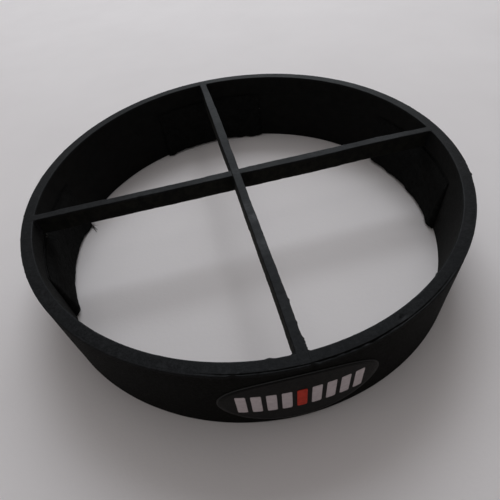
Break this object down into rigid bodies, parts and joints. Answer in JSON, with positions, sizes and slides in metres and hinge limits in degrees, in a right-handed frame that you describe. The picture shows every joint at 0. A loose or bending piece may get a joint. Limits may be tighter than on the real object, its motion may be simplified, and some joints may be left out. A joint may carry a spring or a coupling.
{
  "type": "snoot ring with crossed baffle",
  "caption": "Short round slip-on snoot ring: matte black hoop, two crossed slats level with its upper rim, felt pads inside to grip a lamp head, oval label on the front.",
  "frame": {"origin": "on the hoop's axis, in the plane of its lower rim, which it stands on", "axes": "+Z along the hoop's axis, from the open lower end that takes the lamp head to the rim with the crossed slats; -Y towards the label; the two slats run along X and Y"},
  "size_m": [0.12, 0.1204, 0.024],
  "materials": {
    "black_plastic": "fine grained matte, paler on the upper faces",
    "black_glue": "set adhesive, slightly smoother than the plastic",
    "black_felt": "soft pressed felt with a fuzzy cut edge",
    "pad_tape": "double-sided film",
    "label_adhesive": "clear pressure-sensitive adhesive",
    "label_film": "satin vinyl film, seen at its cut edge",
    "dark_print": "satin dark grey print",
    "white_print": "satin white print",
    "orange_print": "satin orange-red print"
  },
  "bodies": {
    "root": {"hoop": "black_plastic", "front_back_slat": "black_plastic", "left_right_slat": "black_plastic", "front_joint_glue": "black_glue", "right_joint_glue": "black_glue", "back_joint_glue": "black_glue", "left_joint_glue": "black_glue", "centre_joint_glue": "black_glue", "felt_pad_front": "black_felt", "felt_pad_right": "black_felt", "felt_pad_back": "black_felt", "felt_pad_left": "black_felt", "pad_tape_front": "pad_tape", "pad_tape_right": "pad_tape", "pad_tape_back": "pad_tape", "pad_tape_left": "pad_tape", "label_adhesive": "label_adhesive", "label_film": "label_film", "label_dark_print": "dark_print", "label_white_bars": "white_print", "label_orange_bar": "orange_print"}
  },
  "joints": []
}
